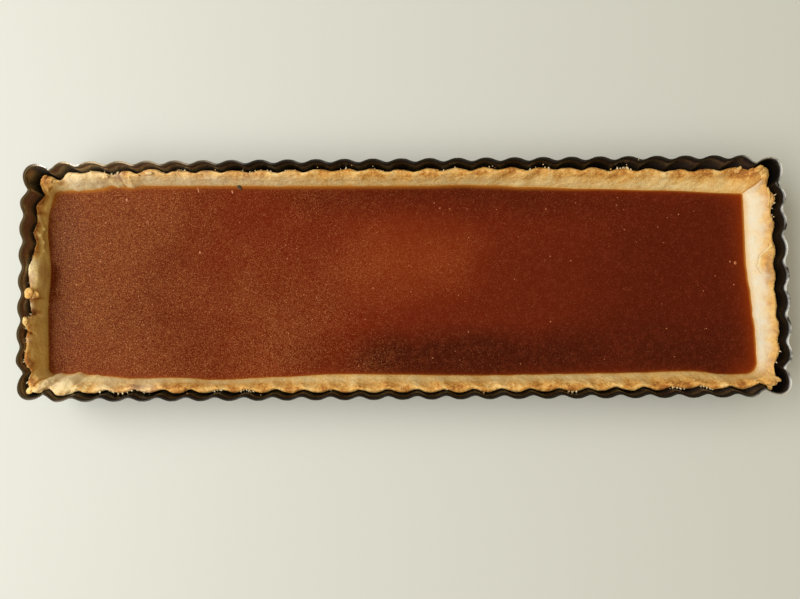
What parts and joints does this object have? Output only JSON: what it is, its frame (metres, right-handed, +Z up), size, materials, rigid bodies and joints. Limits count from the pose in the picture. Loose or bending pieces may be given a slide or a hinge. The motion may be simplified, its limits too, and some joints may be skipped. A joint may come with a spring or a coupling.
{
  "type": "chocolate tart",
  "caption": "Long rectangular tart: a shallow pastry shell with an uneven browned edge, filled with glossy chocolate, baked in its own fluted steel tin.",
  "frame": {"origin": "middle of the tin's underside, on the surface the tart stands on", "axes": "+X along the tart's length, +Y across it, +Z up out of the tin"},
  "size_m": [0.3498, 0.1098, 0.025],
  "materials": {
    "dark_steel": "semi-gloss dark non-stick coat on thin steel",
    "baked_pastry": "matt, sandy shortcrust, golden on its edge and pale cream on its inner face",
    "chocolate_filling": "smooth glossy red-brown set chocolate with fine pale bubbles"
  },
  "bodies": {
    "root": {"tin": "dark_steel", "crust": "baked_pastry", "filling": "chocolate_filling"}
  },
  "joints": []
}
